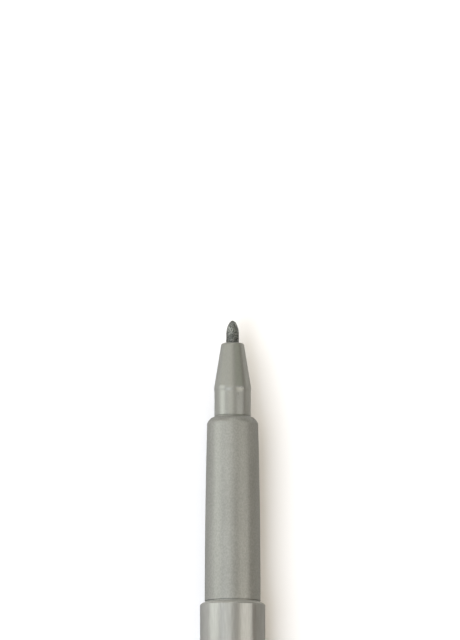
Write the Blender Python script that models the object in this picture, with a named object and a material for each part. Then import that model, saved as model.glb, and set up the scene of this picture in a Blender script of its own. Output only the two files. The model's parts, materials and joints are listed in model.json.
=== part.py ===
"""A slim round marker for metallic ink, lying on a table with its cap pushed on the tail.

Units are metres. A turned piece is drawn as (radius, station) points about the marker's own axis.
Station 0 is the mouth of the barrel, where the grip section goes in, and stations grow towards the nib.
The empty marker_axis lays that axis along +Y, as high as it is when barrel, cap and clip rest on Z = 0.
"""

import math

import bmesh
import bpy

# Fits
PUSH_GAP = 0.00005
SEAT_GAP = 0.0001
CAP_GAP = 0.00008

# Nib
NIB_RADIUS = 0.00117
NIB_EXPOSED = 0.0042
NIB_POINT = 0.0024
NIB_POINT_POWER = 1.7
NIB_POINT_ROOT = 1.9
NIB_POINT_RINGS = 9
NIB_IN_RESERVOIR = 0.007
NIB_REAR_CHAMFER = 0.0003

# Nib holder
NOSE_TIP_WALL = 0.00086
NOSE_EDGE = 0.00045
NOSE_LENGTH = 0.00875
NOSE_FLARE = 0.00127
BEAD_HEIGHT = 0.00005
BEAD_WIDTH = 0.0008
NECK_LENGTH = 0.00518
NECK_WALL = 0.00075
FLANGE_LEDGE = 0.0005
FLANGE_THICKNESS = 0.0012
FEED_TUBE_WALL = 0.0007
FEED_TUBE_LENGTH = 0.003
VENT_COUNT = 3
VENT_DEPTH = 0.00025
VENT_SETBACK = 0.002
VENT_RAMP = 0.0004

# Grip section
GRIP_LENGTH = 0.03297
GRIP_FLARE = 0.00042
GRIP_RINGS = 8
GRIP_WALL = 0.0008
SHOULDER_LENGTH = 0.0011
SHOULDER_LAND = 0.00045
SHOULDER_BULGE = 0.0001
SHOULDER_WALL = 0.0016
SPIGOT_LENGTH = 0.009
SPIGOT_CHAMFER = 0.0003
SNAP_SETBACK = 0.0035
SNAP_WIDTH = 0.001
SNAP_HEIGHT = 0.00012

# Barrel
BARREL_LENGTH = 0.08
BARREL_TAPER = 0.00025
BARREL_WALL = 0.00105
MOUTH_WALL = 0.00083
MOUTH_LAND = 0.00008
MOUTH_CHAMFER = 0.0005
TAIL_CHAMFER = 0.0003
POST_LENGTH = 0.013
POST_WALL = 0.00075
POST_CHAMFER = 0.0004
RIB_COUNT = 6
RIB_RAMP = 0.0008

# Ink reservoir
FILM_GAP = 0.00015
FILM_THICKNESS = 0.0002
CORE_CHAMFER = 0.0004

# Tail plug
PLUG_FLANGE = 0.0014
PLUG_EDGE = 0.0004
PLUG_SPIGOT = 0.006
PLUG_WALL = 0.0009

# Cap
CAP_RIM_WALL = 0.0008
CAP_RIM_EDGE = 0.0002
CAP_TAPER = 0.0007
CAP_END_WALL = 0.0018
CAP_END_EDGE = 0.0009
CAP_FIT_DEPTH = 0.0145
CAP_SEAT_WALL = 0.0008

# Sealing liner in the cap
LIP_OVERLAP = 0.0012
LIP_GAP = 0.00002
COLLAR_LENGTH = 0.005
LINER_WALL = 0.0007
LINER_END_WALL = 0.0008
NOSE_ROOM = 0.0003
NIB_ROOM = 0.001

# Pocket clip
CLIP_LENGTH = 0.04
CLIP_WIDTH = 0.0046
CLIP_THICKNESS = 0.0015
CLIP_GAP = 0.0011
CLIP_EDGE = 0.0003
CLIP_ROOT = 0.007
CLIP_ROOT_TOP = 0.0028
CLIP_HINGE_GAP = 0.00015
NUB_LENGTH = 0.005
NUB_GAP = 0.0003

# Mesh
SEGMENTS = 48
ARC_STEPS = 5
OVERCUT = 0.001
WELD = 1e-6

# Radii, from the nib outwards
NIB_BORE = NIB_RADIUS + PUSH_GAP
NOSE_TIP_RADIUS = NIB_BORE + NOSE_TIP_WALL
NECK_RADIUS = NOSE_TIP_RADIUS + NOSE_FLARE
BEAD_RADIUS = NECK_RADIUS + BEAD_HEIGHT
FLANGE_RADIUS = NECK_RADIUS + FLANGE_LEDGE
GRIP_BORE = FLANGE_RADIUS + PUSH_GAP
GRIP_FRONT_RADIUS = GRIP_BORE + GRIP_WALL
GRIP_REAR_RADIUS = GRIP_FRONT_RADIUS + GRIP_FLARE
MOUTH_RADIUS = GRIP_REAR_RADIUS + PUSH_GAP
BARREL_RADIUS = MOUTH_RADIUS + MOUTH_WALL
TAIL_RADIUS = BARREL_RADIUS - BARREL_TAPER
BARREL_BORE = BARREL_RADIUS - BARREL_WALL
POST_RADIUS = GRIP_REAR_RADIUS
POST_BORE = POST_RADIUS - POST_WALL
FILM_RADIUS = GRIP_BORE - FILM_GAP
CORE_RADIUS = FILM_RADIUS - FILM_THICKNESS - PUSH_GAP
CAP_BORE = POST_RADIUS + CAP_GAP
CAP_RIM_RADIUS = CAP_BORE + CAP_RIM_WALL
CAP_END_RADIUS = CAP_RIM_RADIUS - CAP_TAPER
LINER_SEAT_RADIUS = CAP_END_RADIUS - CAP_SEAT_WALL
LIP_RADIUS = BEAD_RADIUS + LIP_GAP
NOSE_ROOM_RADIUS = NOSE_TIP_RADIUS + NOSE_ROOM
CLIP_FACE_RADIUS = CAP_RIM_RADIUS + CLIP_GAP + CLIP_THICKNESS

# Stations, from the barrel's mouth towards the nib
SHOULDER_TOP = GRIP_LENGTH + SHOULDER_LENGTH
BEAD_STATION = SHOULDER_TOP + NECK_LENGTH
NOSE_FACE = BEAD_STATION + NOSE_LENGTH
NIB_TIP = NOSE_FACE + NIB_EXPOSED
SHOULDER_INSIDE = SHOULDER_TOP - SHOULDER_WALL
FLANGE_FRONT = SHOULDER_INSIDE - SEAT_GAP
FLANGE_REAR = FLANGE_FRONT - FLANGE_THICKNESS
FEED_TUBE_END = FLANGE_REAR - FEED_TUBE_LENGTH
RESERVOIR_FRONT = FEED_TUBE_END - SEAT_GAP
NIB_REAR = RESERVOIR_FRONT - NIB_IN_RESERVOIR

# Stations, from the barrel's mouth towards the tail
SPIGOT_END = -SPIGOT_LENGTH
SPIGOT_STOP = SPIGOT_END - SEAT_GAP
TAIL = -BARREL_LENGTH
TAIL_SHOULDER = TAIL + POST_LENGTH
PLUG_SEAT = TAIL - SEAT_GAP
PLUG_REAR = PLUG_SEAT - PLUG_FLANGE
PLUG_FRONT = TAIL + PLUG_SPIGOT
RESERVOIR_REAR = PLUG_FRONT + SEAT_GAP
CAP_RIM = TAIL_SHOULDER - SEAT_GAP

# Depths into the cap, from its rim
LINER_MOUTH = BEAD_STATION - LIP_OVERLAP
LINER_SEAL_END = BEAD_STATION + LIP_OVERLAP
LINER_END = NIB_TIP + NIB_ROOM + LINER_END_WALL
CAP_FLOOR = LINER_END + SEAT_GAP
CAP_LENGTH = CAP_FLOOR + CAP_END_WALL
CLIP_HINGE = CAP_LENGTH - CLIP_ROOT

# Resting pose: a facet of the barrel and the clip's lower outer edge lie on the table
REST_HEIGHT = BARREL_RADIUS * math.cos(math.pi / SEGMENTS)
CLIP_EDGE_RADIUS = CLIP_FACE_RADIUS - CLIP_EDGE
CLIP_EDGE_REACH = math.hypot(CLIP_EDGE_RADIUS, CLIP_WIDTH / 2)
CLIP_EDGE_ANGLE = math.atan2(CLIP_WIDTH / 2, CLIP_EDGE_RADIUS)
CLIP_DROOP = math.asin(REST_HEIGHT / CLIP_EDGE_REACH) - CLIP_EDGE_ANGLE
CLIP_SIDE_REACH = (CLIP_FACE_RADIUS * math.cos(CLIP_DROOP)
                   + (CLIP_WIDTH / 2 - CLIP_EDGE) * math.sin(CLIP_DROOP))
AXIS_PLACE = (
    (CLIP_SIDE_REACH - BARREL_RADIUS) / 2,
    (CAP_LENGTH - CAP_RIM - NIB_TIP) / 2,
    REST_HEIGHT,
)


def material(name, colour, roughness, metallic):
    made = bpy.data.materials.new(name)
    made.use_nodes = True
    shader = made.node_tree.nodes["Principled BSDF"]
    shader.inputs["Base Color"].default_value = (*colour, 1)
    shader.inputs["Roughness"].default_value = roughness
    shader.inputs["Metallic"].default_value = metallic
    return made


def empty(name, parent=None, location=(0, 0, 0), rotation=(0, 0, 0)):
    made = bpy.data.objects.new(name, None)
    made.parent = parent
    made.location = location
    made.rotation_euler = rotation
    bpy.context.scene.collection.objects.link(made)
    return made


def place(bm, name, parent, finish, location=(0, 0, 0), rotation=(0, 0, 0)):
    """Make the finished mesh an object of this name."""
    bmesh.ops.remove_doubles(bm, verts=bm.verts, dist=WELD)
    bmesh.ops.recalc_face_normals(bm, faces=bm.faces)
    mesh = bpy.data.meshes.new(name)
    bm.to_mesh(mesh)
    bm.free()
    mesh.shade_smooth()
    mesh.set_sharp_from_angle(angle=math.radians(30))
    made = bpy.data.objects.new(name, mesh)
    made.parent = parent
    made.location = location
    made.rotation_euler = rotation
    if finish:
        mesh.materials.append(finish)
    else:
        made.hide_render = True
        made.display_type = "WIRE"
    bpy.context.scene.collection.objects.link(made)
    return made


FACET = 2 * math.pi / SEGMENTS
FIRST_CORNER = math.pi / 2 + FACET / 2  # a facet, not a corner, faces the table


def turned(outline, through=False):
    """Turn (radius, station) points about the axis; through closes the outline round a bore."""
    bm = bmesh.new()
    points = [
        bm.verts.new((radius * math.cos(FIRST_CORNER), radius * math.sin(FIRST_CORNER), station))
        for radius, station in outline
    ]
    edges = [bm.edges.new(pair) for pair in zip(points, points[1:])]
    if through:
        edges.append(bm.edges.new((points[-1], points[0])))
    bmesh.ops.spin(bm, geom=points + edges, cent=(0, 0, 0), axis=(0, 0, 1),
                   angle=2 * math.pi, steps=SEGMENTS)
    bmesh.ops.remove_doubles(bm, verts=bm.verts, dist=WELD)
    return bm


def move_columns(bm, rings, radius, count):
    """On the rings given as (radius, station), move count facets, evenly spaced, to a new radius."""
    chosen = {round(i * SEGMENTS / count) + side for i in range(count) for side in (0, 1)}
    columns = {column % SEGMENTS for column in chosen}
    for vert in bm.verts:
        here = math.hypot(vert.co.x, vert.co.y)
        if not any(abs(here - r) < WELD and abs(vert.co.z - s) < WELD for r, s in rings):
            continue
        column = round((math.atan2(vert.co.y, vert.co.x) - FIRST_CORNER) / FACET) % SEGMENTS
        if column in columns:
            vert.co.x *= radius / here
            vert.co.y *= radius / here


def slab(outline, width):
    """Extrude (x, z) points along y, half the width to each side."""
    bm = bmesh.new()
    face = bm.faces.new([bm.verts.new((x, -width / 2, z)) for x, z in outline])
    grown = bmesh.ops.extrude_face_region(bm, geom=[face])["geom"]
    bmesh.ops.translate(bm, vec=(0, width, 0),
                        verts=[item for item in grown if isinstance(item, bmesh.types.BMVert)])
    return bm


def arc(centre, across, along, start, end):
    """Points on an ellipse from one angle to the other, in degrees."""
    angles = [math.radians(start + (end - start) * i / ARC_STEPS) for i in range(ARC_STEPS + 1)]
    return [(centre[0] + across * math.cos(a), centre[1] + along * math.sin(a)) for a in angles]


def bowed(start, end, rise):
    """Points from start to end on a shallow bow that rises to the right of its chord."""
    across, along = end[0] - start[0], end[1] - start[1]
    length = math.hypot(across, along)
    points = []
    for i in range(ARC_STEPS + 1):
        share = i / ARC_STEPS
        lift = 4 * rise * share * (1 - share) / length
        points.append((start[0] + across * share + along * lift,
                       start[1] + along * share - across * lift))
    return points


def between(a, b, share):
    return a + (b - a) * share


def make_nib(parent, finish):
    point = []
    for i in range(1, NIB_POINT_RINGS + 1):
        share = (i / NIB_POINT_RINGS) ** 2  # rings crowd towards the tip, where it is roundest
        fullness = (1 - (1 - share) ** NIB_POINT_POWER) ** (1 / NIB_POINT_ROOT)
        point.append((NIB_RADIUS * fullness, NIB_TIP - NIB_POINT * share))
    rear = [
        (NIB_RADIUS, NIB_REAR + NIB_REAR_CHAMFER),
        (NIB_RADIUS - NIB_REAR_CHAMFER, NIB_REAR),
        (0, NIB_REAR),
    ]
    return place(turned([(0, NIB_TIP), *point, *rear]), "nib", parent, finish)


def make_nib_holder(parent, finish):
    edge = arc((NOSE_TIP_RADIUS - NOSE_EDGE, NOSE_FACE - NOSE_EDGE), NOSE_EDGE, NOSE_EDGE, 90, 0)
    tube = NIB_BORE + FEED_TUBE_WALL
    pocket = NECK_RADIUS - NECK_WALL
    pocket_end = BEAD_STATION - BEAD_WIDTH
    vent_front = NOSE_FACE - VENT_SETBACK
    vent_rings = [(NIB_BORE, FEED_TUBE_END), (NIB_BORE, vent_front - VENT_RAMP)]
    outline = [
        (NIB_BORE, NOSE_FACE),
        *edge,
        (BEAD_RADIUS, BEAD_STATION + BEAD_WIDTH / 2),
        (BEAD_RADIUS, BEAD_STATION),
        (NECK_RADIUS, BEAD_STATION - BEAD_WIDTH / 2),
        (NECK_RADIUS, FLANGE_FRONT),
        (FLANGE_RADIUS, FLANGE_FRONT),
        (FLANGE_RADIUS, FLANGE_REAR),
        (pocket, FLANGE_REAR),
        (pocket, pocket_end),
        (tube, pocket_end),
        (tube, FEED_TUBE_END),
        *vent_rings,
        (NIB_BORE, vent_front),
    ]
    bm = turned(outline, through=True)
    move_columns(bm, vent_rings, NIB_BORE + VENT_DEPTH, VENT_COUNT)
    return place(bm, "nib_holder", parent, finish)


def make_grip_section(parent, finish):
    shares = [i / GRIP_RINGS for i in range(GRIP_RINGS + 1)]
    side = [(GRIP_REAR_RADIUS - GRIP_FLARE * s ** 2, GRIP_LENGTH * s) for s in shares]
    hole = NECK_RADIUS + PUSH_GAP
    rim = hole + SHOULDER_LAND
    shoulder = bowed((GRIP_FRONT_RADIUS, GRIP_LENGTH), (rim, SHOULDER_TOP), SHOULDER_BULGE)
    snap = GRIP_REAR_RADIUS + SNAP_HEIGHT
    outline = [
        (GRIP_BORE, SPIGOT_END),
        (GRIP_REAR_RADIUS - SPIGOT_CHAMFER, SPIGOT_END),
        (GRIP_REAR_RADIUS, SPIGOT_END + SPIGOT_CHAMFER),
        (GRIP_REAR_RADIUS, -SNAP_SETBACK - SNAP_WIDTH / 2),
        (snap, -SNAP_SETBACK),
        (GRIP_REAR_RADIUS, -SNAP_SETBACK + SNAP_WIDTH / 2),
        *side,
        *shoulder[1:],
        (hole, SHOULDER_TOP),
        (hole, SHOULDER_INSIDE),
        (GRIP_BORE, SHOULDER_INSIDE),
    ]
    return place(turned(outline, through=True), "grip_section", parent, finish)


def barrel_bore_at(station):
    return between(BARREL_BORE, POST_BORE, (SPIGOT_STOP - station) / (SPIGOT_STOP - TAIL))


def make_barrel(parent, finish):
    ramp_front = SPIGOT_STOP - RIB_RAMP
    rib_ends = (RESERVOIR_REAR + RIB_RAMP, ramp_front - RIB_RAMP)
    rib_rings = [(barrel_bore_at(station), station) for station in rib_ends]
    groove = MOUTH_RADIUS + SNAP_HEIGHT
    outline = [
        (MOUTH_RADIUS, 0),
        (MOUTH_RADIUS + MOUTH_LAND, 0),
        (BARREL_RADIUS, -MOUTH_CHAMFER),
        (TAIL_RADIUS, TAIL_SHOULDER + TAIL_CHAMFER),
        (TAIL_RADIUS - TAIL_CHAMFER, TAIL_SHOULDER),
        (POST_RADIUS, TAIL_SHOULDER),
        (POST_RADIUS, TAIL + POST_CHAMFER),
        (POST_RADIUS - POST_CHAMFER, TAIL),
        (POST_BORE, TAIL),
        (barrel_bore_at(RESERVOIR_REAR), RESERVOIR_REAR),
        *rib_rings,
        (barrel_bore_at(ramp_front), ramp_front),
        (BARREL_BORE, SPIGOT_STOP),
        (MOUTH_RADIUS, SPIGOT_STOP),
        (MOUTH_RADIUS, -SNAP_SETBACK - SNAP_WIDTH / 2),
        (groove, -SNAP_SETBACK),
        (MOUTH_RADIUS, -SNAP_SETBACK + SNAP_WIDTH / 2),
    ]
    bm = turned(outline, through=True)
    move_columns(bm, rib_rings, GRIP_BORE, RIB_COUNT)
    return place(bm, "barrel", parent, finish)


def make_reservoir(parent, core_finish, film_finish):
    socket = NIB_BORE
    core = [
        (0, NIB_REAR - SEAT_GAP),
        (socket, NIB_REAR - SEAT_GAP),
        (socket, RESERVOIR_FRONT),
        (CORE_RADIUS - CORE_CHAMFER, RESERVOIR_FRONT),
        (CORE_RADIUS, RESERVOIR_FRONT - CORE_CHAMFER),
        (CORE_RADIUS, RESERVOIR_REAR + CORE_CHAMFER),
        (CORE_RADIUS - CORE_CHAMFER, RESERVOIR_REAR),
        (0, RESERVOIR_REAR),
    ]
    inside = FILM_RADIUS - FILM_THICKNESS
    film = [
        (inside, RESERVOIR_FRONT),
        (FILM_RADIUS, RESERVOIR_FRONT),
        (FILM_RADIUS, RESERVOIR_REAR),
        (inside, RESERVOIR_REAR),
    ]
    place(turned(core), "reservoir_core", parent, core_finish)
    place(turned(film, through=True), "reservoir_film", parent, film_finish)


def make_tail_plug(parent, finish):
    spigot = POST_BORE - PUSH_GAP
    cup = spigot - PLUG_WALL
    edge = arc((POST_RADIUS - PLUG_EDGE, PLUG_REAR + PLUG_EDGE), PLUG_EDGE, PLUG_EDGE, -90, 0)
    outline = [
        (0, PLUG_REAR),
        *edge,
        (POST_RADIUS, PLUG_SEAT),
        (spigot, PLUG_SEAT),
        (spigot, PLUG_FRONT),
        (cup, PLUG_FRONT),
        (cup, PLUG_SEAT),
        (0, PLUG_SEAT),
    ]
    return place(turned(outline), "tail_plug", parent, finish)


def cap_radius_at(depth):
    return between(CAP_RIM_RADIUS, CAP_END_RADIUS, depth / CAP_LENGTH)


def make_cap_shell(parent, finish, clip_place, clip_turn):
    edge_centre = (CAP_END_RADIUS - CAP_END_EDGE, CAP_END_EDGE - CAP_LENGTH)
    edge = arc(edge_centre, CAP_END_EDGE, CAP_END_EDGE, -90, 0)
    body = [
        (0, -CAP_LENGTH),
        *edge,
        (CAP_RIM_RADIUS, -CAP_RIM_EDGE),
        (CAP_RIM_RADIUS - CAP_RIM_EDGE, 0),
        (0, 0),
    ]
    bore = [
        (0, OVERCUT),
        (CAP_BORE + CAP_RIM_EDGE + OVERCUT, OVERCUT),
        (CAP_BORE, -CAP_RIM_EDGE),
        (CAP_BORE, -CAP_FIT_DEPTH),
        (LINER_SEAT_RADIUS, -LINER_MOUTH),
        (LINER_SEAT_RADIUS, -CAP_FLOOR),
        (0, -CAP_FLOOR),
    ]
    foot = CAP_END_EDGE - CLIP_ROOT
    root = [
        (-CLIP_FACE_RADIUS, -CLIP_HINGE_GAP),
        (0, -CLIP_HINGE_GAP),
        (0, -CLIP_HINGE_GAP - CLIP_ROOT_TOP),
        (CAP_END_RADIUS - CAP_SEAT_WALL - CLIP_FACE_RADIUS, foot),
        (-CLIP_FACE_RADIUS, foot),
    ]
    shell = place(turned(body), "cap_shell", parent, finish)
    root_block = place(slab(root, CLIP_WIDTH), "clip_root_tool", parent, None, clip_place, clip_turn)
    bevel(root_block)
    bore_cutter = place(turned(bore), "cap_bore_tool", parent, None)
    for tool, operation in ((root_block, "UNION"), (bore_cutter, "DIFFERENCE")):
        join = shell.modifiers.new(tool.name, "BOOLEAN")
        join.object = tool
        join.operation = operation
        join.solver = "EXACT"
    return shell


def bevel(piece):
    rounding = piece.modifiers.new("edges", "BEVEL")
    rounding.width = CLIP_EDGE
    rounding.segments = 1
    rounding.limit_method = "ANGLE"
    rounding.angle_limit = math.radians(40)


def liner_bore_at(depth):
    share = (depth - LINER_SEAL_END) / (NOSE_FACE - LINER_SEAL_END)
    return between(LIP_RADIUS, NOSE_ROOM_RADIUS, min(max(share, 0), 1))


def make_cap_liner(parent, finish):
    collar = LINER_SEAT_RADIUS - PUSH_GAP
    collar_end = LINER_MOUTH + COLLAR_LENGTH
    floor = LINER_END - LINER_END_WALL
    outline = [
        (0, -floor),
        (NOSE_ROOM_RADIUS, -floor),
        (NOSE_ROOM_RADIUS, -NOSE_FACE),
        (LIP_RADIUS, -LINER_SEAL_END),
        (LIP_RADIUS, -LINER_MOUTH),
        (collar, -LINER_MOUTH),
        (collar, -collar_end),
        (liner_bore_at(collar_end) + LINER_WALL, -collar_end),
        (NOSE_ROOM_RADIUS + LINER_WALL, -NOSE_FACE),
        (NOSE_ROOM_RADIUS + LINER_WALL, -LINER_END),
        (0, -LINER_END),
    ]
    return place(turned(outline), "cap_liner", parent, finish)


def make_cap_clip(parent, finish, clip_place, clip_turn):
    """The arm, drawn from its hinge line: x is outwards from the cap and z runs to its free end."""
    inner = -CLIP_THICKNESS
    nub_middle = CLIP_LENGTH - NUB_LENGTH / 2
    nub_tip = cap_radius_at(CLIP_HINGE - CLIP_LENGTH) + NUB_GAP - CLIP_FACE_RADIUS
    outline = [
        (0, 0),
        *arc((inner, CLIP_LENGTH - CLIP_THICKNESS), CLIP_THICKNESS, CLIP_THICKNESS, 0, 90),
        *arc((inner, nub_middle), inner - nub_tip, NUB_LENGTH / 2, 90, 270)[1:],
        (inner, 0),
    ]
    clip = place(slab(outline, CLIP_WIDTH), "cap_clip", parent, finish, clip_place, clip_turn)
    bevel(clip)
    return clip


def main():
    for old in list(bpy.data.objects):
        bpy.data.objects.remove(old, do_unlink=True)
    ink_fibre = material("inked_fibre", (0.13, 0.135, 0.13), 0.85, 0.2)
    gloss_grey = material("gloss_grey_plastic", (0.36, 0.365, 0.34), 0.28, 0.25)
    matte_grey = material("matte_grey_plastic", (0.33, 0.335, 0.31), 0.6, 0.1)
    silver_grey = material("silver_grey_plastic", (0.43, 0.43, 0.405), 0.25, 0.35)
    core_fibre = material("reservoir_fibre", (0.55, 0.55, 0.53), 0.9, 0.0)
    clear_film = material("reservoir_film", (0.8, 0.8, 0.8), 0.2, 0.0)
    pale_plastic = material("liner_plastic", (0.72, 0.72, 0.7), 0.45, 0.0)

    marker_axis = empty("marker_axis", None, AXIS_PLACE, (-math.pi / 2, 0, 0))
    cap_axis = empty("cap_axis", marker_axis, (0, 0, CAP_RIM))
    turn = math.pi - CLIP_DROOP
    clip_turn = (0, 0, turn)
    clip_place = (CLIP_FACE_RADIUS * math.cos(turn), CLIP_FACE_RADIUS * math.sin(turn), -CLIP_HINGE)

    make_nib(marker_axis, ink_fibre)
    make_nib_holder(marker_axis, gloss_grey)
    make_grip_section(marker_axis, matte_grey)
    make_barrel(marker_axis, silver_grey)
    make_reservoir(marker_axis, core_fibre, clear_film)
    make_tail_plug(marker_axis, silver_grey)
    make_cap_shell(cap_axis, silver_grey, clip_place, clip_turn)
    make_cap_liner(cap_axis, pale_plastic)
    make_cap_clip(cap_axis, silver_grey, clip_place, clip_turn)


main()
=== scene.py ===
import bpy
import json
import math
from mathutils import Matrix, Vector


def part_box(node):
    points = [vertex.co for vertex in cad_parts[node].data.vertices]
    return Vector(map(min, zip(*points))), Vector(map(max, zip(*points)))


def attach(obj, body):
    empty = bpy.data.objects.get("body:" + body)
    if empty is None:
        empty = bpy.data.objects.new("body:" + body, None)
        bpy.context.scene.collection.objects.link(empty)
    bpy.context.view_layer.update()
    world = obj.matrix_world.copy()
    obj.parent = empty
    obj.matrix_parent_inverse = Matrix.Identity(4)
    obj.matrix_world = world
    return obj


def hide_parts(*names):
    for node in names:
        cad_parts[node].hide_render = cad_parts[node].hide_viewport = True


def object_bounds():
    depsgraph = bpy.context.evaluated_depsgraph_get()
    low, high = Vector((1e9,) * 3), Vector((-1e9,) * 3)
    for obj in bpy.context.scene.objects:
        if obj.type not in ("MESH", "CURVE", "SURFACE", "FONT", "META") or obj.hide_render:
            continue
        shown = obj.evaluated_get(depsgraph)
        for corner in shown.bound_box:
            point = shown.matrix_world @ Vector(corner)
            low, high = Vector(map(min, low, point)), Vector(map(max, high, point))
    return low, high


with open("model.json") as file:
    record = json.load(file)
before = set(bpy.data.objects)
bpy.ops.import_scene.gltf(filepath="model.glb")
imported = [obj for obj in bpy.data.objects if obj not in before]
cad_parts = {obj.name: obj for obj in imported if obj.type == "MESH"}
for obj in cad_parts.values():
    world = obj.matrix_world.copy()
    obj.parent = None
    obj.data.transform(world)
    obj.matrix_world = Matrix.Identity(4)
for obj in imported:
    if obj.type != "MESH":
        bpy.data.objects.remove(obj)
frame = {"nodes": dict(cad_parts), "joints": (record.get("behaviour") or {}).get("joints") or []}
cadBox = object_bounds()
nodes = frame["nodes"]
print("frame loaded:", ", ".join(sorted(nodes)))

mm = 0.001
barrelLow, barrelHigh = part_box("barrel")
axisX = (barrelLow.x + barrelHigh.x) / 2      # the marker's axis runs along Y
axisZ = (barrelLow.z + barrelHigh.z) / 2
mouthY = barrelHigh.y                         # station 0, where the grip goes into the barrel


def span(node):                               # first and last station of a node, in mm from the mouth
    low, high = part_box(node)
    return (low.y - mouthY) / mm, (high.y - mouthY) / mm


def roundness(node):                          # radius of a turned node in mm, inside its facets
    low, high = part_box(node)
    return (high.z - low.z) / 2 / mm


# camera
cameraSet = {
    "lens": 305.0,
    "sensor": 36.0,         # mm on the picture's long side
    "clipStart": 0.01,
    "distance": 1.0,
    "elevation": 81.5,      # degrees above the table, seen from the tail's side
    "aside": -0.48 * mm,    # aim, measured from the nib's tip
    "ahead": 0.1 * mm,
}


def makeCamera(values):
    data = bpy.data.cameras.new("viewCamera")
    data.lens = values["lens"]
    data.sensor_width = values["sensor"]
    data.clip_start = values["clipStart"]
    camera = bpy.data.objects.new("viewCamera", data)
    bpy.context.scene.collection.objects.link(camera)
    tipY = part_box("nib")[1].y
    aim = Vector((axisX + values["aside"], tipY + values["ahead"], axisZ))
    tilt = math.radians(values["elevation"])
    back = Vector((0, -math.cos(tilt), math.sin(tilt)))
    camera.location = aim + back * values["distance"]
    camera.rotation_euler = (-back).to_track_quat("-Z", "Y").to_euler()
    bpy.context.scene.camera = camera


makeCamera(cameraSet)

# floor and light, in metres from the axis and the barrel's mouth
stageSet = {
    "floorSide": 12.0,
    "floorColour": (0.93, 0.925, 0.95, 1),
    "floorRoughness": 0.9,
    "floorGloss": 0.2,
    "cardReach": (0.016, 0.35),       # dark card that only shows in reflections, to the right of the axis: painted shade on the marker's right flank
    "cardSpan": (-0.3, 0.041),
    "cardLift": 0.0005,
    "cardColour": (0.5, 0.5, 0.5, 1),
    "cardRoughness": 0.95,
    "cardGloss": 0.0,
    "panelDistance": 0.5,
    "frontDistance": 0.9,
    "world": (0.09, 0.05, 0.026, 1),
}
# soft panels round the marker: degrees right of straight up, degrees wide, rear and front end, brightness
panelSet = {
    "leftNear": (-69, 38, 0.0, 0.2, (3.3, 3.44, 3.32)),
    "leftFar": (-70, 40, 0.2, 0.5, (0.95, 0.95, 0.83)),
    "midNear": (-40, 20, 0.0, 0.09, (1.0, 1.03, 1.02)),
    "midFar": (-40, 20, 0.09, 0.5, (1.36, 1.4, 1.39)),
    "topRear": (-24.5, 38, -0.5, 0.0, (3.85, 4.1, 4.4)),
    "topNear": (-16, 28, 0.0, 0.09, (1.13, 1.13, 1.03)),
    "topMid": (-13, 34, 0.09, 0.2, (2.03, 2.03, 1.9)),
    "topFar": (-15, 30, 0.2, 0.5, (1.36, 1.36, 1.23)),
    "top": (10, 20, -0.5, 0.5, (0.58, 0.59, 0.57)),
    "rightRear": (45, 50, -0.5, 0.0, (1.2, 1.0, 0.65)),
    "rightNear": (48.5, 46, 0.0, 0.083, (3.6, 3.62, 3.54)),
    "rightFar": (51, 62, 0.083, 0.2, (0.35, 0.37, 0.45)),
    "rightTip": (45, 50, 0.2, 0.5, (0.46, 0.57, 0.42)),
}
# soft panels beyond the nib: degrees right of straight ahead, degrees up, wide, high, brightness
frontSet = {
    "frontLeft": (-35, 24, 0.5, 0.4, (0.8, 0.74, 0.68)),
    "frontMid": (0, 27, 0.5, 0.45, (1.9, 1.94, 1.86)),
}


def plainFinish(name, colour, roughness, gloss):
    finish = bpy.data.materials.new(name)
    finish.use_nodes = True
    shader = finish.node_tree.nodes["Principled BSDF"]
    shader.inputs["Base Color"].default_value = colour
    shader.inputs["Roughness"].default_value = roughness
    shader.inputs["Specular IOR Level"].default_value = gloss
    return finish


def makeFloor(values):
    bpy.ops.object.select_all(action="DESELECT")
    bpy.ops.mesh.primitive_plane_add(size=values["floorSide"], location=(0, 0, cadBox[0].z))
    floor = bpy.context.object
    floor.name = "floor"
    floor.data.materials.append(plainFinish(
        "paleFloor", values["floorColour"], values["floorRoughness"], values["floorGloss"]))


def makeCard(values):
    near, far = values["cardReach"]
    rear, front = values["cardSpan"]
    place = (axisX + (near + far) / 2, mouthY + (rear + front) / 2, cadBox[0].z + values["cardLift"])
    bpy.ops.object.select_all(action="DESELECT")
    bpy.ops.mesh.primitive_plane_add(size=1, location=place)
    card = bpy.context.object
    card.name = "darkCard"
    card.scale = (far - near, front - rear, 1)
    # painted shade, seen only in the marker's reflections
    card.data.materials.append(plainFinish(
        "reflectedShadeSheet", values["cardColour"], values["cardRoughness"], values["cardGloss"]))
    card.visible_camera = False
    card.visible_diffuse = False
    card.visible_shadow = False


def addPanel(name, wide, high, colour, place, turn):
    brightness = max(colour)
    data = bpy.data.lights.new(name, "AREA")
    data.shape = "RECTANGLE"
    data.size = wide
    data.size_y = high
    data.energy = brightness * math.pi * wide * high
    data.color = [channel / brightness for channel in colour]
    panel = bpy.data.objects.new(name, data)
    bpy.context.scene.collection.objects.link(panel)
    panel.location = place
    panel.rotation_euler = turn
    panel.visible_camera = False


def makePanel(name, angle, spread, rear, front, colour):
    distance = stageSet["panelDistance"]
    turn = math.radians(angle)
    out = Vector((math.sin(turn), 0, math.cos(turn)))
    place = Vector((axisX, mouthY + (rear + front) / 2, axisZ)) + out * distance
    wide = 2 * distance * math.tan(math.radians(spread / 2))
    addPanel(name, wide, front - rear, colour, place, (0, turn, 0))


def makeFront(name, aside, up, wide, high, colour):
    turn = math.radians(aside)
    lift = math.radians(up)
    out = Vector((math.sin(turn) * math.cos(lift), math.cos(turn) * math.cos(lift), math.sin(lift)))
    place = Vector((axisX, mouthY, axisZ)) + out * stageSet["frontDistance"]
    addPanel(name, wide, high, colour, place, out.to_track_quat("Z", "Y").to_euler())


def makeWorld(colour):
    world = bpy.data.worlds.new("studioWorld")
    bpy.context.scene.world = world
    world.use_nodes = True
    world.node_tree.nodes["Background"].inputs["Color"].default_value = colour
    bpy.context.scene.view_settings.view_transform = "Standard"


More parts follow.
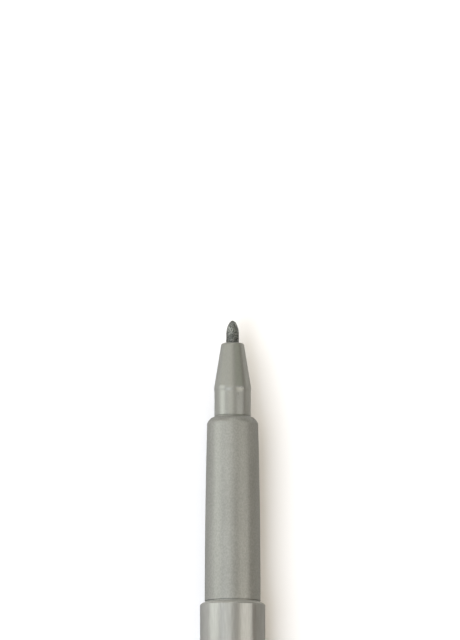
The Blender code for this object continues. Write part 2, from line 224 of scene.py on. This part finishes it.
makeFloor(stageSet)
makeCard(stageSet)
for panelName, panelValues in panelSet.items():
    makePanel(panelName, *panelValues)
for panelName, panelValues in frontSet.items():
    makeFront(panelName, *panelValues)
makeWorld(stageSet["world"])
print("stage ready")

# finishes
noiseSpan = (0.3, 0.7)                        # nearly all of a noise's values lie between these
cloudStretch = (1, 0.35, 1)                   # clouds are drawn out along the axis


def addNode(tree, kind, values):
    node = tree.nodes.new(kind)
    for socket, value in values.items():
        node.inputs[socket].default_value = value
    return node


def tint(colour, share):
    return tuple(channel * share for channel in colour)


def grey(tone):
    return (tone, tone, tone)


def addNoise(tree, where, grain, stretch=(1, 1, 1), detail=3, shift=(0, 0, 0)):   # grain and shift in mm
    turn = addNode(tree, "ShaderNodeMapping", {"Scale": stretch, "Location": tint(shift, mm)})
    noise = addNode(tree, "ShaderNodeTexNoise", {"Scale": 1 / (grain * mm), "Detail": detail})
    tree.links.new(where.outputs["Object"], turn.inputs["Vector"])
    tree.links.new(turn.outputs["Vector"], noise.inputs["Vector"])
    return noise.outputs["Fac"]


def addRange(tree, factor, low, high, ends=noiseSpan):
    spread = addNode(tree, "ShaderNodeMapRange", {
        "From Min": ends[0], "From Max": ends[1], "To Min": low, "To Max": high})
    spread.interpolation_type = "SMOOTHSTEP"
    tree.links.new(factor, spread.inputs["Value"])
    return spread.outputs["Result"]


def addRamp(tree, factor, low, high, ends=noiseSpan):
    ramp = tree.nodes.new("ShaderNodeValToRGB")
    ramp.color_ramp.interpolation = "EASE"
    for element, position, colour in zip(ramp.color_ramp.elements, ends, (low, high)):
        element.position = position
        element.color = (*colour, 1)
    tree.links.new(factor, ramp.inputs["Fac"])
    return ramp.outputs["Color"]


def addProduct(tree, first, second):          # one colour times the other
    mix = tree.nodes.new("ShaderNodeMix")
    mix.data_type = "RGBA"
    mix.blend_type = "MULTIPLY"
    mix.inputs["Factor"].default_value = 1
    tree.links.new(first, mix.inputs["A"])
    tree.links.new(second, mix.inputs["B"])
    return mix.outputs["Result"]


def addSum(tree, first, second):
    total = tree.nodes.new("ShaderNodeMath")
    total.operation = "ADD"
    tree.links.new(first, total.inputs[0])
    tree.links.new(second, total.inputs[1])
    return total.outputs["Value"]


def addBump(tree, factor, height, strength, shader):       # height in mm
    bump = addNode(tree, "ShaderNodeBump", {"Strength": strength, "Distance": height * mm})
    tree.links.new(factor, bump.inputs["Height"])
    tree.links.new(bump.outputs["Normal"], shader.inputs["Normal"])


def addEdge(tree, where, start, end):         # 0 behind the first station, 1 ahead of the second
    split = tree.nodes.new("ShaderNodeSeparateXYZ")
    tree.links.new(where.outputs["Object"], split.inputs["Vector"])
    return addRange(tree, split.outputs["Y"], 0, 1, (mouthY + start * mm, mouthY + end * mm))


def startFinish(name, sockets):
    finish = bpy.data.materials.new(name)
    finish.use_nodes = True
    tree = finish.node_tree
    shader = tree.nodes["Principled BSDF"]
    for socket, value in sockets.items():
        shader.inputs[socket].default_value = value
    where = tree.nodes.new("ShaderNodeTexCoord")
    return finish, tree, shader, where


def mouldedFinish(name, values):
    finish, tree, shader, where = startFinish(name, values["shader"])
    colour = values["colour"]
    speck = addNoise(tree, where, values["speckSize"], values["speckStretch"], detail=2)
    cloud = addNoise(tree, where, values["cloudSize"], cloudStretch)
    speckTone = addRamp(tree, speck, tint(colour, 1 - values["speck"]), tint(colour, 1 + values["speck"]))
    cloudTone = addRamp(tree, cloud, grey(1 - values["cloud"]), grey(1))
    tone = addProduct(tree, speckTone, cloudTone)
    rough = addRange(tree, cloud, *values["roughness"])
    if "edgeSpan" in values:                  # a duller edge along the axis, made paler by painted light
        edge = addEdge(tree, where, *values["edgeSpan"])
        tone = addProduct(tree, tone, addRamp(tree, edge, grey(1), grey(values["edgePaintedLight"]), (0, 1)))
        rough = addSum(tree, rough, addRange(tree, edge, 0, values["edgeDull"], (0, 1)))
    tree.links.new(tone, shader.inputs["Base Color"])
    tree.links.new(rough, shader.inputs["Roughness"])
    grain = addNoise(tree, where, values["grainSize"], detail=4)
    addBump(tree, grain, values["grainHeight"], values["grainStrength"], shader)
    return finish


# sizes in mm, tones and strengths as shares
silverSet = {
    "shader": {"Metallic": 0.6, "Specular IOR Level": 0.2, "Specular Tint": (0.3, 0.3, 0.3, 1)},
    "colour": (0.3, 0.3, 0.285),
    "speckSize": 0.3,
    "speckStretch": (1, 0.12, 1),
    "speck": 0.05,
    "cloudSize": 4.0,
    "cloud": 0.05,
    "roughness": (0.28, 0.3),
    "grainSize": 0.25,
    "grainHeight": 0.004,
    "grainStrength": 0.2,
}
barrelSilverSet = {
    **silverSet,
    "edgeSpan": (-0.48, -0.3),   # the mouth's rounded edge, duller, and painted paler as painted light
    "edgePaintedLight": 1.38,
    "edgeDull": 0.3,
}
gripSilverSet = {
    "shader": {"Metallic": 0.5, "Specular IOR Level": 0.15, "Specular Tint": (0.25, 0.25, 0.25, 1)},
    "colour": (0.265, 0.267, 0.25),
    "speckSize": 0.26,
    "speckStretch": (1, 0.7, 1),
    "speck": 0.08,
    "cloudSize": 5.0,
    "cloud": 0.08,
    "roughness": (0.36, 0.42),
    "grainSize": 0.24,
    "grainHeight": 0.03,
    "grainStrength": 0.4,
}
noseSilverSet = {
    "shader": {"Metallic": 0.5, "Specular IOR Level": 0.25, "Specular Tint": (0.4, 0.4, 0.4, 1)},
    "colour": (0.255, 0.258, 0.24),
    "speckSize": 0.24,
    "speckStretch": (1, 0.5, 1),
    "speck": 0.03,
    "cloudSize": 2.5,
    "cloud": 0.03,
    "roughness": (0.28, 0.31),
    "grainSize": 0.3,
    "grainHeight": 0.006,
    "grainStrength": 0.15,
}
paleSet = {
    "shader": {"Metallic": 0.0, "Specular IOR Level": 0.45},
    "colour": (0.66, 0.66, 0.64),
    "speckSize": 0.2,
    "speckStretch": (1, 1, 1),
    "speck": 0.03,
    "cloudSize": 3.0,
    "cloud": 0.05,
    "roughness": (0.4, 0.48),
    "grainSize": 0.2,
    "grainHeight": 0.006,
    "grainStrength": 0.3,
}
filmSet = {
    "shader": {"Metallic": 0.0, "Specular IOR Level": 0.5},
    "colour": (0.72, 0.72, 0.72),
    "speckSize": 0.4,
    "speckStretch": (1, 0.5, 1),
    "speck": 0.03,
    "cloudSize": 6.0,
    "cloud": 0.05,
    "roughness": (0.18, 0.26),
    "grainSize": 0.8,
    "grainHeight": 0.02,
    "grainStrength": 0.3,
}
coreSet = {
    "shader": {"Metallic": 0.0, "Specular IOR Level": 0.2},
    "colour": (0.4, 0.4, 0.385),
    "speckSize": 0.12,
    "speckStretch": (1, 0.2, 1),
    "speck": 0.25,
    "cloudSize": 5.0,
    "cloud": 0.2,
    "roughness": (0.75, 0.9),
    "grainSize": 0.12,
    "grainHeight": 0.05,
    "grainStrength": 0.7,
}
inkedSet = {
    "shader": {"Metallic": 0.65, "Specular IOR Level": 0.3, "Specular Tint": (0.5, 0.5, 0.5, 1)},
    "dark": (0.03, 0.031, 0.03),
    "light": (0.245, 0.255, 0.24),
    "fibreSize": 0.16,
    "fibreStretch": (1, 0.6, 1),
    "fibreHeight": 0.05,
    "fibreStrength": 0.6,
    "clotSize": 0.9,
    "clotShift": (0.4, 0.3, 0),
    "clotTone": (0.6, 1.08),
    "tipSpan": (48.0, 51.0),     # painted light: darker near the nose, paler towards the tip
    "tipPaintedLight": (0.75, 1.4),
    "roughness": (0.32, 0.5),
}


def inkedFinish(name, values):
    finish, tree, shader, where = startFinish(name, values["shader"])
    fibre = addNoise(tree, where, values["fibreSize"], values["fibreStretch"], detail=4)
    clot = addNoise(tree, where, values["clotSize"], shift=values["clotShift"])
    # painted light along the nib, darker near the nose and paler towards the tip
    tip = addEdge(tree, where, *values["tipSpan"])
    fibreTone = addRamp(tree, fibre, values["dark"], values["light"])
    clotTone = addRamp(tree, clot, *map(grey, values["clotTone"]))
    tipPaintedLight = addRamp(tree, tip, *map(grey, values["tipPaintedLight"]), (0, 1))
    tone = addProduct(tree, addProduct(tree, fibreTone, clotTone), tipPaintedLight)
    tree.links.new(tone, shader.inputs["Base Color"])
    tree.links.new(addRange(tree, clot, *values["roughness"]), shader.inputs["Roughness"])
    addBump(tree, fibre, values["fibreHeight"], values["fibreStrength"], shader)
    return finish


silver = mouldedFinish("glossSilver", silverSet)
barrelSilver = mouldedFinish("barrelSilver", barrelSilverSet)
gripSilver = mouldedFinish("matteSilver", gripSilverSet)
noseSilver = mouldedFinish("noseSilver", noseSilverSet)
pale = mouldedFinish("paleLiner", paleSet)
film = mouldedFinish("wrapFilm", filmSet)
coreFibre = mouldedFinish("wetFibre", coreSet)
inked = inkedFinish("inkedFibre", inkedSet)
print("finishes ready")

# tools for the pieces, sizes in mm
smoothAngle = math.radians(35)                # faces that meet more sharply keep their edge
mergeGap = 0.0005
fineEdge = 0.05                               # rounding of small moulded edges
poleRadius = 0.6                              # last ring of a closed flat end


def softCorners(outline, steps=4):            # (radius, station, rounding)
    points = []
    for i, (radius, station, rounding) in enumerate(outline):
        corner = Vector((radius, station))
        if not rounding:
            points.append(corner)
            continue
        back = Vector(outline[i - 1][:2]) - corner
        onward = Vector(outline[(i + 1) % len(outline)][:2]) - corner
        start = corner + back.normalized() * min(rounding, back.length / 2)
        end = corner + onward.normalized() * min(rounding, onward.length / 2)
        for step in range(steps + 1):
            t = step / steps
            points.append(start * (1 - t) ** 2 + corner * 2 * t * (1 - t) + end * t ** 2)
    return points


def supportRings(points, gap=0.12):           # rings near the ends of each long run, so that it shades true
    rings = [points[0]]
    for start, end in zip(points, points[1:]):
        run = end - start
        if run.length > 4 * gap:
            rings.append(start + run.normalized() * gap)
            rings.append(end - run.normalized() * gap)
        rings.append(end)
    return rings


def axisPoint(station):
    return Vector((axisX, mouthY + station * mm, axisZ))


def mergeDoubles(gap=mergeGap):               # all over the piece that is in edit mode
    bpy.ops.mesh.select_all(action="SELECT")
    bpy.ops.mesh.remove_doubles(threshold=gap * mm)


def turnPiece(name, outline, bored, sides=128):
    points = supportRings(softCorners(outline))
    first = points[0]
    bpy.ops.object.select_all(action="DESELECT")
    bpy.ops.mesh.primitive_circle_add(
        vertices=sides, radius=first.x * mm, fill_type="NOTHING" if bored else "NGON",
        location=axisPoint(first.y), rotation=(math.pi / 2, 0, 0))
    piece = bpy.context.object
    piece.name = name
    bpy.ops.object.transform_apply(location=True, rotation=True, scale=True)
    bpy.ops.object.mode_set(mode="EDIT")
    bpy.ops.mesh.select_all(action="SELECT")
    last = first
    for point in points[1:] + (points[:1] if bored else []):
        step = (0, (point.y - last.y) * mm, 0)
        bpy.ops.mesh.extrude_region_move(TRANSFORM_OT_translate={"value": step})
        grow = point.x / last.x
        bpy.ops.transform.resize(value=(grow, 1, grow), center_override=axisPoint(point.y))
        last = point
    mergeDoubles()
    bpy.ops.mesh.normals_make_consistent(inside=False)
    bpy.ops.object.mode_set(mode="OBJECT")
    bpy.ops.object.shade_smooth_by_angle(angle=smoothAngle)
    return piece


def selectOnly(piece):
    bpy.ops.object.select_all(action="DESELECT")
    piece.select_set(True)
    bpy.context.view_layer.objects.active = piece


def applyAll(piece):
    selectOnly(piece)
    for modifier in list(piece.modifiers):
        bpy.ops.object.modifier_apply(modifier=modifier.name)


def unite(piece, extra):
    union = piece.modifiers.new("union", "BOOLEAN")
    union.operation = "UNION"
    union.solver = "EXACT"
    union.object = extra
    applyAll(piece)
    bpy.data.objects.remove(extra)
    bpy.ops.object.mode_set(mode="EDIT")
    mergeDoubles()
    bpy.ops.object.mode_set(mode="OBJECT")
    bpy.ops.object.shade_smooth_by_angle(angle=smoothAngle)


def keepPiece(piece, finish, body, node):
    piece.data.materials.clear()
    piece.data.materials.append(finish)
    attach(piece, body)
    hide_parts(node)
    print(piece.name, "made,", len(piece.data.polygons), "faces")


# nib, a rod of pressed fibre with a bullet point
nibSet = {
    "point": 2.4,           # length of the rounded point
    "power": 1.7,           # shape of the point's outline
    "root": 1.9,
    "rings": 44,
    "sides": 96,
    "bodyStep": 0.06,       # ring spacing on the straight part that shows
    "hidden": 1.0,          # that part starts this far inside the nose
    "rearChamfer": 0.3,
    "fuzz": 0.035,          # height of the fibre texture
    "fuzzSize": 0.2,
    "fuzzStretch": 2.0,
    "fuzzDepth": 3,
}


def addFuzz(piece, values, tip):
    fuzz = bpy.data.textures.new("fibreFuzz", "CLOUDS")
    fuzz.noise_scale = 1.0
    fuzz.noise_depth = values["fuzzDepth"]
    guide = bpy.data.objects.new("fuzzGuide", None)
    bpy.context.scene.collection.objects.link(guide)
    size = values["fuzzSize"] * mm
    guide.location = axisPoint(tip)
    guide.scale = (size, size * values["fuzzStretch"], size)
    bpy.context.view_layer.update()
    push = piece.modifiers.new("fuzz", "DISPLACE")
    push.texture = fuzz
    push.texture_coords = "OBJECT"
    push.texture_coords_object = guide
    push.strength = values["fuzz"] * 2 * mm   # half of it outwards, half inwards
    push.mid_level = 0.5
    applyAll(piece)
    bpy.data.objects.remove(guide)


def makeNib(values):
    rear, tip = span("nib")
    tip -= values["fuzz"] / 2
    face = span("nib_holder")[1]
    radius = roundness("nib")
    chamfer = values["rearChamfer"]
    outline = [(radius - chamfer, rear, 0), (radius, rear + chamfer, 0)]
    station = face - values["hidden"]
    while station < tip - values["point"]:
        outline.append((radius, station, 0))
        station += values["bodyStep"]
    for i in range(values["rings"], 0, -1):
        share = (i / values["rings"]) ** 2    # rings crowd together at the tip
        fullness = (1 - (1 - share) ** values["power"]) ** (1 / values["root"])
        outline.append((radius * fullness, tip - values["point"] * share, 0))
    piece = turnPiece("nibFibre", outline, False, values["sides"])
    addFuzz(piece, values, tip)
    keepPiece(piece, inked, "pen", "nib")


makeNib(nibSet)

# nose cone and neck, one moulding that holds the nib
noseSet = {
    "nibBore": 1.22,
    "mouthChamfer": 0.1,
    "faceSetback": 0.08,    # the rounded face lies this far behind the drawn one
    "faceRound": 0.45,
    "faceRings": 6,
    "tipRadius": 2.155,
    "beadStation": 39.25,
    "beadRadius": 3.4,
    "beadWidth": 0.9,
    "beadSoft": 0.3,
    "beadTopSoft": 0.2,
    "neckRadius": 3.345,
    "rootGroove": 0.09,     # fine groove ahead of the neck's root
    "rootSteps": ((3.385, 0.24), (3.42, 0.03)),   # radius, station from the shoulder
    "rootSoft": 0.02,
    "flangeFront": 32.37,
    "flangeThickness": 1.2,
    "pocketRadius": 2.6,
    "tubeRadius": 1.89,
    "tubeSoft": 0.1,
}
# small raised moulding mark on the neck: station, place and lean in degrees right of straight up, size
markSet = {
    "station": 37.87,
    "turn": 18.0,
    "lean": -6.0,
    "half": 0.12,
    "length": 1.0,
    "rise": 0.12,
    "segments": 24,
    "rings": 12,
}


def addMark(nose, values, neck):
    turn = math.radians(values["turn"])
    out = Vector((math.sin(turn), 0, math.cos(turn)))
    bpy.ops.object.select_all(action="DESELECT")
    bpy.ops.mesh.primitive_uv_sphere_add(
        segments=values["segments"], ring_count=values["rings"], radius=mm,
        location=axisPoint(values["station"]) + out * neck * mm,
        rotation=(0, math.radians(values["lean"]), 0))
    mark = bpy.context.object
    mark.scale = (values["half"], values["length"] / 2, values["rise"])
    bpy.ops.object.transform_apply(location=True, rotation=True, scale=True)
    unite(nose, mark)


def makeNose(values):
    feedEnd, face = span("nib_holder")
    face -= values["faceSetback"]
    shoulder = span("grip_section")[1]
    bore = values["nibBore"]
    chamfer = values["mouthChamfer"]
    edge = values["faceRound"]
    bead = values["beadStation"]
    half = values["beadWidth"] / 2
    beadSoft = values["beadSoft"]
    neck = values["neckRadius"]
    groove = values["rootGroove"]
    rootFront = shoulder + values["rootSteps"][0][1]
    rootSoft = values["rootSoft"]
    flange = roundness("nib_holder")
    flangeFront = values["flangeFront"]
    flangeRear = flangeFront - values["flangeThickness"]
    pocket = values["pocketRadius"]
    tube = values["tubeRadius"]
    outline = [
        (bore, face - chamfer, 0),
        (bore + chamfer, face, fineEdge),
    ]
    for i in range(values["faceRings"] + 1):
        turn = math.pi / 2 * i / values["faceRings"]
        outline.append((
            values["tipRadius"] - edge + edge * math.sin(turn),
            face - edge + edge * math.cos(turn), 0))
    outline += [
        (values["beadRadius"], bead + half, beadSoft),
        (values["beadRadius"], bead, values["beadTopSoft"]),
        (neck, bead - half, beadSoft),
        (neck, rootFront + groove, rootSoft),
        (neck - groove, rootFront + groove / 2, rootSoft),
        (neck - groove, rootFront, 0),
        *[(radius, shoulder + ahead, rootSoft) for radius, ahead in values["rootSteps"]],
        (neck - groove, shoulder - groove, 0),
        (neck, shoulder - 2 * groove, 0),
        (neck, flangeFront, 0),
        (flange, flangeFront, fineEdge),
        (flange, flangeRear, fineEdge),
        (pocket, flangeRear, fineEdge),
        (pocket, bead - half, beadSoft),
        (tube, bead - half, values["tubeSoft"]),
        (tube, feedEnd, fineEdge),
        (bore, feedEnd, fineEdge),
    ]
    piece = turnPiece("noseCone", outline, True)
    addMark(piece, markSet, neck)
    keepPiece(piece, noseSilver, "pen", "nib_holder")


makeNose(noseSet)

# grip section, matte, with a bowed shoulder and a spigot that snaps into the barrel
gripSet = {
    "bore": 3.9,
    "boreSoft": 0.1,
    "rearRadius": 5.115,
    "frontRadius": 4.695,
    "sideRings": 24,
    "length": 32.97,
    "shoulderRim": 3.94,
    "rimSetback": 0.06,     # the bowed shoulder ends this far behind the drawn one
    "rimSoft": 0.04,
    "shoulderBulge": 0.09,
    "shoulderRings": 6,
    "shoulderWall": 1.6,
    "hole": 3.4,
    "holeSoft": 0.03,
    "spigotSoft": 0.3,
    "snapSetback": 3.5,
    "snapWidth": 1.0,
    "snapSoft": 0.15,
    "seamStation": 0.03,    # fine groove beside the barrel's mouth
    "seamWidth": 0.3,
    "seamDepth": 0.15,
    "seamSoft": 0.02,
}


def makeGrip(values):
    spigotEnd, shoulderTop = span("grip_section")
    shoulderTop -= values["rimSetback"]
    inside = shoulderTop - values["shoulderWall"]
    bore = values["bore"]
    rear = values["rearRadius"]
    front = values["frontRadius"]
    flare = rear - front
    length = values["length"]
    snap = values["snapSetback"]
    half = values["snapWidth"] / 2
    depth = values["seamDepth"]
    seam = values["seamStation"]
    seamEnd = seam + values["seamWidth"]
    outline = [
        (bore, spigotEnd, values["boreSoft"]),
        (rear, spigotEnd, values["spigotSoft"]),
        (rear, -snap - half, 0),
        (roundness("grip_section"), -snap, values["snapSoft"]),
        (rear, -snap + half, 0),
        (rear, seam, 0),
        (rear - depth, seam, 0),
        (rear - depth, seamEnd - depth / 2, values["seamSoft"]),
    ]
    for i in range(values["sideRings"]):
        station = seamEnd + (length - seamEnd) * i / values["sideRings"]
        outline.append((rear - flare * (station / length) ** 2, station, 0))
    chord = Vector((values["shoulderRim"] - front, shoulderTop - length))
    outward = Vector((chord.y, -chord.x)).normalized()
    for i in range(values["shoulderRings"] + 1):
        share = i / values["shoulderRings"]
        lift = 4 * values["shoulderBulge"] * share * (1 - share)
        point = Vector((front, length)) + chord * share + outward * lift
        outline.append((point.x, point.y, values["rimSoft"] if share == 1 else 0))
    outline += [
        (values["hole"], shoulderTop, values["holeSoft"]),
        (values["hole"], inside, 0),
        (bore, inside, values["boreSoft"]),
    ]
    piece = turnPiece("gripSleeve", outline, True)
    keepPiece(piece, gripSilver, "pen", "grip_section")


makeGrip(gripSet)

# barrel, a glossy tube with a rounded mouth and a thinner post at the tail
barrelSet = {
    "mouthRadius": 5.17,
    "mouthLip": 0.02,       # thin lip ahead of the rounded edge
    "lipWidth": 0.02,
    "landWidth": 0.08,
    "landSetback": 0.04,
    "landSoft": 0.03,
    "edgeWidth": 0.4,
    "edgeFront": 0.12,
    "edgeRear": 0.47,
    "edgeSoft": 0.12,
    "tailRadius": 5.735,
    "tailShoulder": -67.0,
    "tailSoft": 0.25,
    "postRadius": 5.11,
    "postRootSoft": 0.1,
    "postChamfer": 0.4,
    "postSoft": 0.15,
    "postEndSoft": 0.1,
    "postBore": 4.37,
    "bore": 4.95,
    "spigotRoom": 9.1,
}


def makeBarrel(values):
    tail = span("barrel")[0]
    radius = roundness("barrel")
    mouth = values["mouthRadius"]
    lip = values["mouthLip"]
    lipWidth = values["lipWidth"]
    shoulder = values["tailShoulder"]
    post = values["postRadius"]
    chamfer = values["postChamfer"]
    outline = [
        (mouth, lip, lipWidth),
        (mouth + lipWidth, lip, lipWidth / 2),
        (mouth + values["landWidth"], -values["landSetback"], values["landSoft"]),
        (radius - values["edgeWidth"], -values["edgeFront"], values["edgeSoft"]),
        (radius, -values["edgeRear"], values["edgeSoft"]),
        (values["tailRadius"], shoulder, values["tailSoft"]),
        (post, shoulder, values["postRootSoft"]),
        (post, tail + chamfer, values["postSoft"]),
        (post - chamfer, tail, values["postEndSoft"]),
        (values["postBore"], tail, fineEdge),
        (values["bore"], -values["spigotRoom"], 0),
        (mouth, -values["spigotRoom"], 0),
    ]
    piece = turnPiece("barrelTube", outline, True)
    keepPiece(piece, barrelSilver, "pen", "barrel")


makeBarrel(barrelSet)

# tail plug, a cup pressed into the end of the barrel
plugSet = {
    "flange": 1.4,
    "edge": 0.45,
    "seatSoft": 0.08,
    "spigotRadius": 4.32,
    "spigotSoft": 0.25,
    "wall": 0.9,
    "cupSoft": 0.15,
    "dishRadius": 3.2,
    "dishSlope": 0.3,
    "dishDepth": 0.25,
    "dishSoft": 0.2,
}


def makePlug(values):
    rear, front = span("tail_plug")
    radius = roundness("tail_plug")
    seat = rear + values["flange"]
    spigot = values["spigotRadius"]
    cup = spigot - values["wall"]
    dish = values["dishRadius"]
    dishFloor = rear + values["dishDepth"]
    outline = [
        (cup, seat, 0),
        (cup, front, values["cupSoft"]),
        (spigot, front, values["spigotSoft"]),
        (spigot, seat, 0),
        (radius, seat, values["seatSoft"]),
        (radius, rear, values["edge"]),
        (dish, rear, values["dishSoft"]),
        (dish - values["dishSlope"], dishFloor, values["dishSoft"]),
        (poleRadius, dishFloor, 0),
    ]
    piece = turnPiece("tailStopper", outline, False)
    keepPiece(piece, silver, "pen", "tail_plug")


makePlug(plugSet)

# the clip's place on the cap, from its hinge line at the outer face of its root
hinge = next(Vector(joint["pos_m"]) for joint in frame["joints"] if joint["name"] == "clip_flex")
clipOut = Vector((hinge.x - axisX, 0, hinge.z - axisZ))
clipFace = clipOut.length / mm                # from the axis to the clip's outer face
clipTurn = math.atan2(clipOut.x, clipOut.z)   # from straight up, about the axis
clipEdgeSet = {
    "soft": 0.55,
    "segments": 4,
    "sharp": 50.0,          # degrees from which an edge is rounded
    "tiny": 0.005,          # shorter edges are merged, because they would spoil a union
}


def extrudeSections(name, sections, upright):   # middle, width and depth of each, with the clip straight up
    middle, width, depth = sections[0]
    bpy.ops.object.select_all(action="DESELECT")
    stand = (math.pi / 2, 0, 0) if upright else (0, 0, 0)
    bpy.ops.mesh.primitive_plane_add(size=1, location=middle * mm, rotation=stand)
    piece = bpy.context.object
    piece.name = name
    piece.scale = (width * mm, depth * mm, 1)
    bpy.ops.object.transform_apply(location=True, rotation=True, scale=True)
    bpy.ops.object.mode_set(mode="EDIT")
    bpy.ops.mesh.select_all(action="SELECT")
    for last, section in zip(sections, sections[1:]):
        bpy.ops.mesh.extrude_region_move(TRANSFORM_OT_translate={"value": (section[0] - last[0]) * mm})
        widen = section[1] / last[1]
        deepen = section[2] / last[2]
        grow = (widen, 1, deepen) if upright else (widen, deepen, 1)
        bpy.ops.transform.resize(value=grow, center_override=section[0] * mm)
    bpy.ops.mesh.select_all(action="SELECT")
    bpy.ops.mesh.normals_make_consistent(inside=False)
    bpy.ops.object.mode_set(mode="OBJECT")
    return piece


def softEdges(piece, values):
    rounding = piece.modifiers.new("edges", "BEVEL")
    rounding.width = values["soft"] * mm
    rounding.segments = values["segments"]
    rounding.limit_method = "ANGLE"
    rounding.angle_limit = math.radians(values["sharp"])
    applyAll(piece)
    bpy.ops.object.mode_set(mode="EDIT")
    mergeDoubles(values["tiny"])
    bpy.ops.object.mode_set(mode="OBJECT")


def turnToClip(piece):
    selectOnly(piece)
    bpy.ops.object.transform_apply(location=True, rotation=True, scale=True)
    piece.rotation_euler = (0, clipTurn, 0)
    piece.location = (axisX, hinge.y, axisZ)
    bpy.ops.object.transform_apply(location=True, rotation=True, scale=True)


# cap shell, with the clip's root on a foot that flares into it
capSet = {
    "rimRadius": 5.985,
    "rimSoft": 0.25,
    "endRadius": 5.285,
    "endRound": 1.1,
    "endWall": 1.8,
    "bore": 5.2,
    "boreSoft": 0.2,
    "fitDepth": 14.5,
    "fitSoft": 0.5,
    "seatRadius": 4.5,
    "seatDepth": 38.05,
    "seatSoft": 0.3,
}
# the root in steps outwards: distance from the axis, half width, front and rear from the hinge line
rootSteps = [
    (4.62, 3.05, 0.55, -6.25),
    (5.0, 2.75, 0.3, -6.15),
    (5.4, 2.5, 0.08, -5.9),
    (5.9, 2.33, -0.03, -5.5),
    (6.5, 2.25, -0.03, -5.0),
    (8.58, 2.25, -0.03, -3.1),
]


def makeRoot(steps):
    sections = [
        (Vector((0, (front + rear) / 2, lift)), 2 * half, front - rear)
        for lift, half, front, rear in steps]
    root = extrudeSections("clipRoot", sections, False)
    softEdges(root, clipEdgeSet)
    turnToClip(root)
    return root


def makeCap(values):
    end, rim = span("cap_shell")
    seat = values["seatRadius"]
    bore = values["bore"]
    outline = [
        (seat, end + values["endWall"], 0),
        (seat, rim - values["seatDepth"], values["seatSoft"]),
        (bore, rim - values["fitDepth"], values["fitSoft"]),
        (bore, rim, values["boreSoft"]),
        (values["rimRadius"], rim, values["rimSoft"]),
        (values["endRadius"], end, values["endRound"]),
        (poleRadius, end, 0),
    ]
    piece = turnPiece("capBody", outline, False)
    unite(piece, makeRoot(rootSteps))
    keepPiece(piece, silver, "cap", "cap_shell")


makeCap(capSet)

# clip arm in steps from its root: distance along, half width, outer and inner face from the clip's face
armSteps = [
    (0, 2.25, -0.02, -1.5),
    (10, 2.24, -0.02, -1.5),
    (20, 2.21, -0.02, -1.5),
    (30, 2.16, -0.02, -1.5),
    (35.0, 2.12, -0.02, -1.5),
    (35.8, 2.11, -0.02, -1.85),
    (36.6, 2.1, -0.02, -2.2),
    (37.5, 2.08, -0.02, -2.34),
    (38.4, 2.05, -0.02, -2.2),
    (39.1, 2.0, -0.12, -1.9),
    (39.6, 1.93, -0.4, -1.6),
    (39.9, 1.82, -0.75, -1.4),
]


def makeArm(steps):
    sections = [
        (Vector((0, along, clipFace + (outer + inner) / 2)), 2 * half, outer - inner)
        for along, half, outer, inner in steps]
    arm = extrudeSections("clipArm", sections, True)
    softEdges(arm, clipEdgeSet)
    turnToClip(arm)
    bpy.ops.object.shade_smooth_by_angle(angle=smoothAngle)
    keepPiece(arm, silver, "clip", "cap_clip")


makeArm(armSteps)

# sealing liner in the cap
linerSet = {
    "lip": 3.42,
    "lipSoft": 0.25,
    "collar": 4.45,
    "collarLength": 5.0,
    "collarSoft": 0.2,
    "sealDepth": 2.4,
    "sealSoft": 0.3,
    "wall": 0.7,
    "waist": 0.3,           # the wall is thinner by this under the collar
    "noseRoom": 2.38,
    "noseLength": 6.95,
    "endSoft": 0.4,
}


def makeLiner(values):
    end, mouth = span("cap_liner")
    lip = values["lip"]
    collar = values["collar"]
    collarEnd = mouth - values["collarLength"]
    seal = mouth - values["sealDepth"]
    noseEnd = seal - values["noseLength"]
    room = values["noseRoom"]
    wall = values["wall"]
    outline = [
        (room, end + wall, 0),
        (room, noseEnd, 0),
        (lip, seal, values["sealSoft"]),
        (lip, mouth, values["lipSoft"]),
        (collar, mouth, values["collarSoft"]),
        (collar, collarEnd, values["collarSoft"]),
        (lip + wall - values["waist"], collarEnd, values["collarSoft"]),
        (room + wall, noseEnd, values["sealSoft"]),
        (room + wall, end, values["endSoft"]),
        (poleRadius, end, 0),
    ]
    piece = turnPiece("sealLiner", outline, False)
    keepPiece(piece, pale, "cap", "cap_liner")


makeLiner(linerSet)

# the reservoir lies inside and keeps its drawn shape
for node, finish in (("reservoir_core", coreFibre), ("reservoir_film", film)):
    nodes[node].data.materials.clear()
    nodes[node].data.materials.append(finish)
print("reservoir finished")
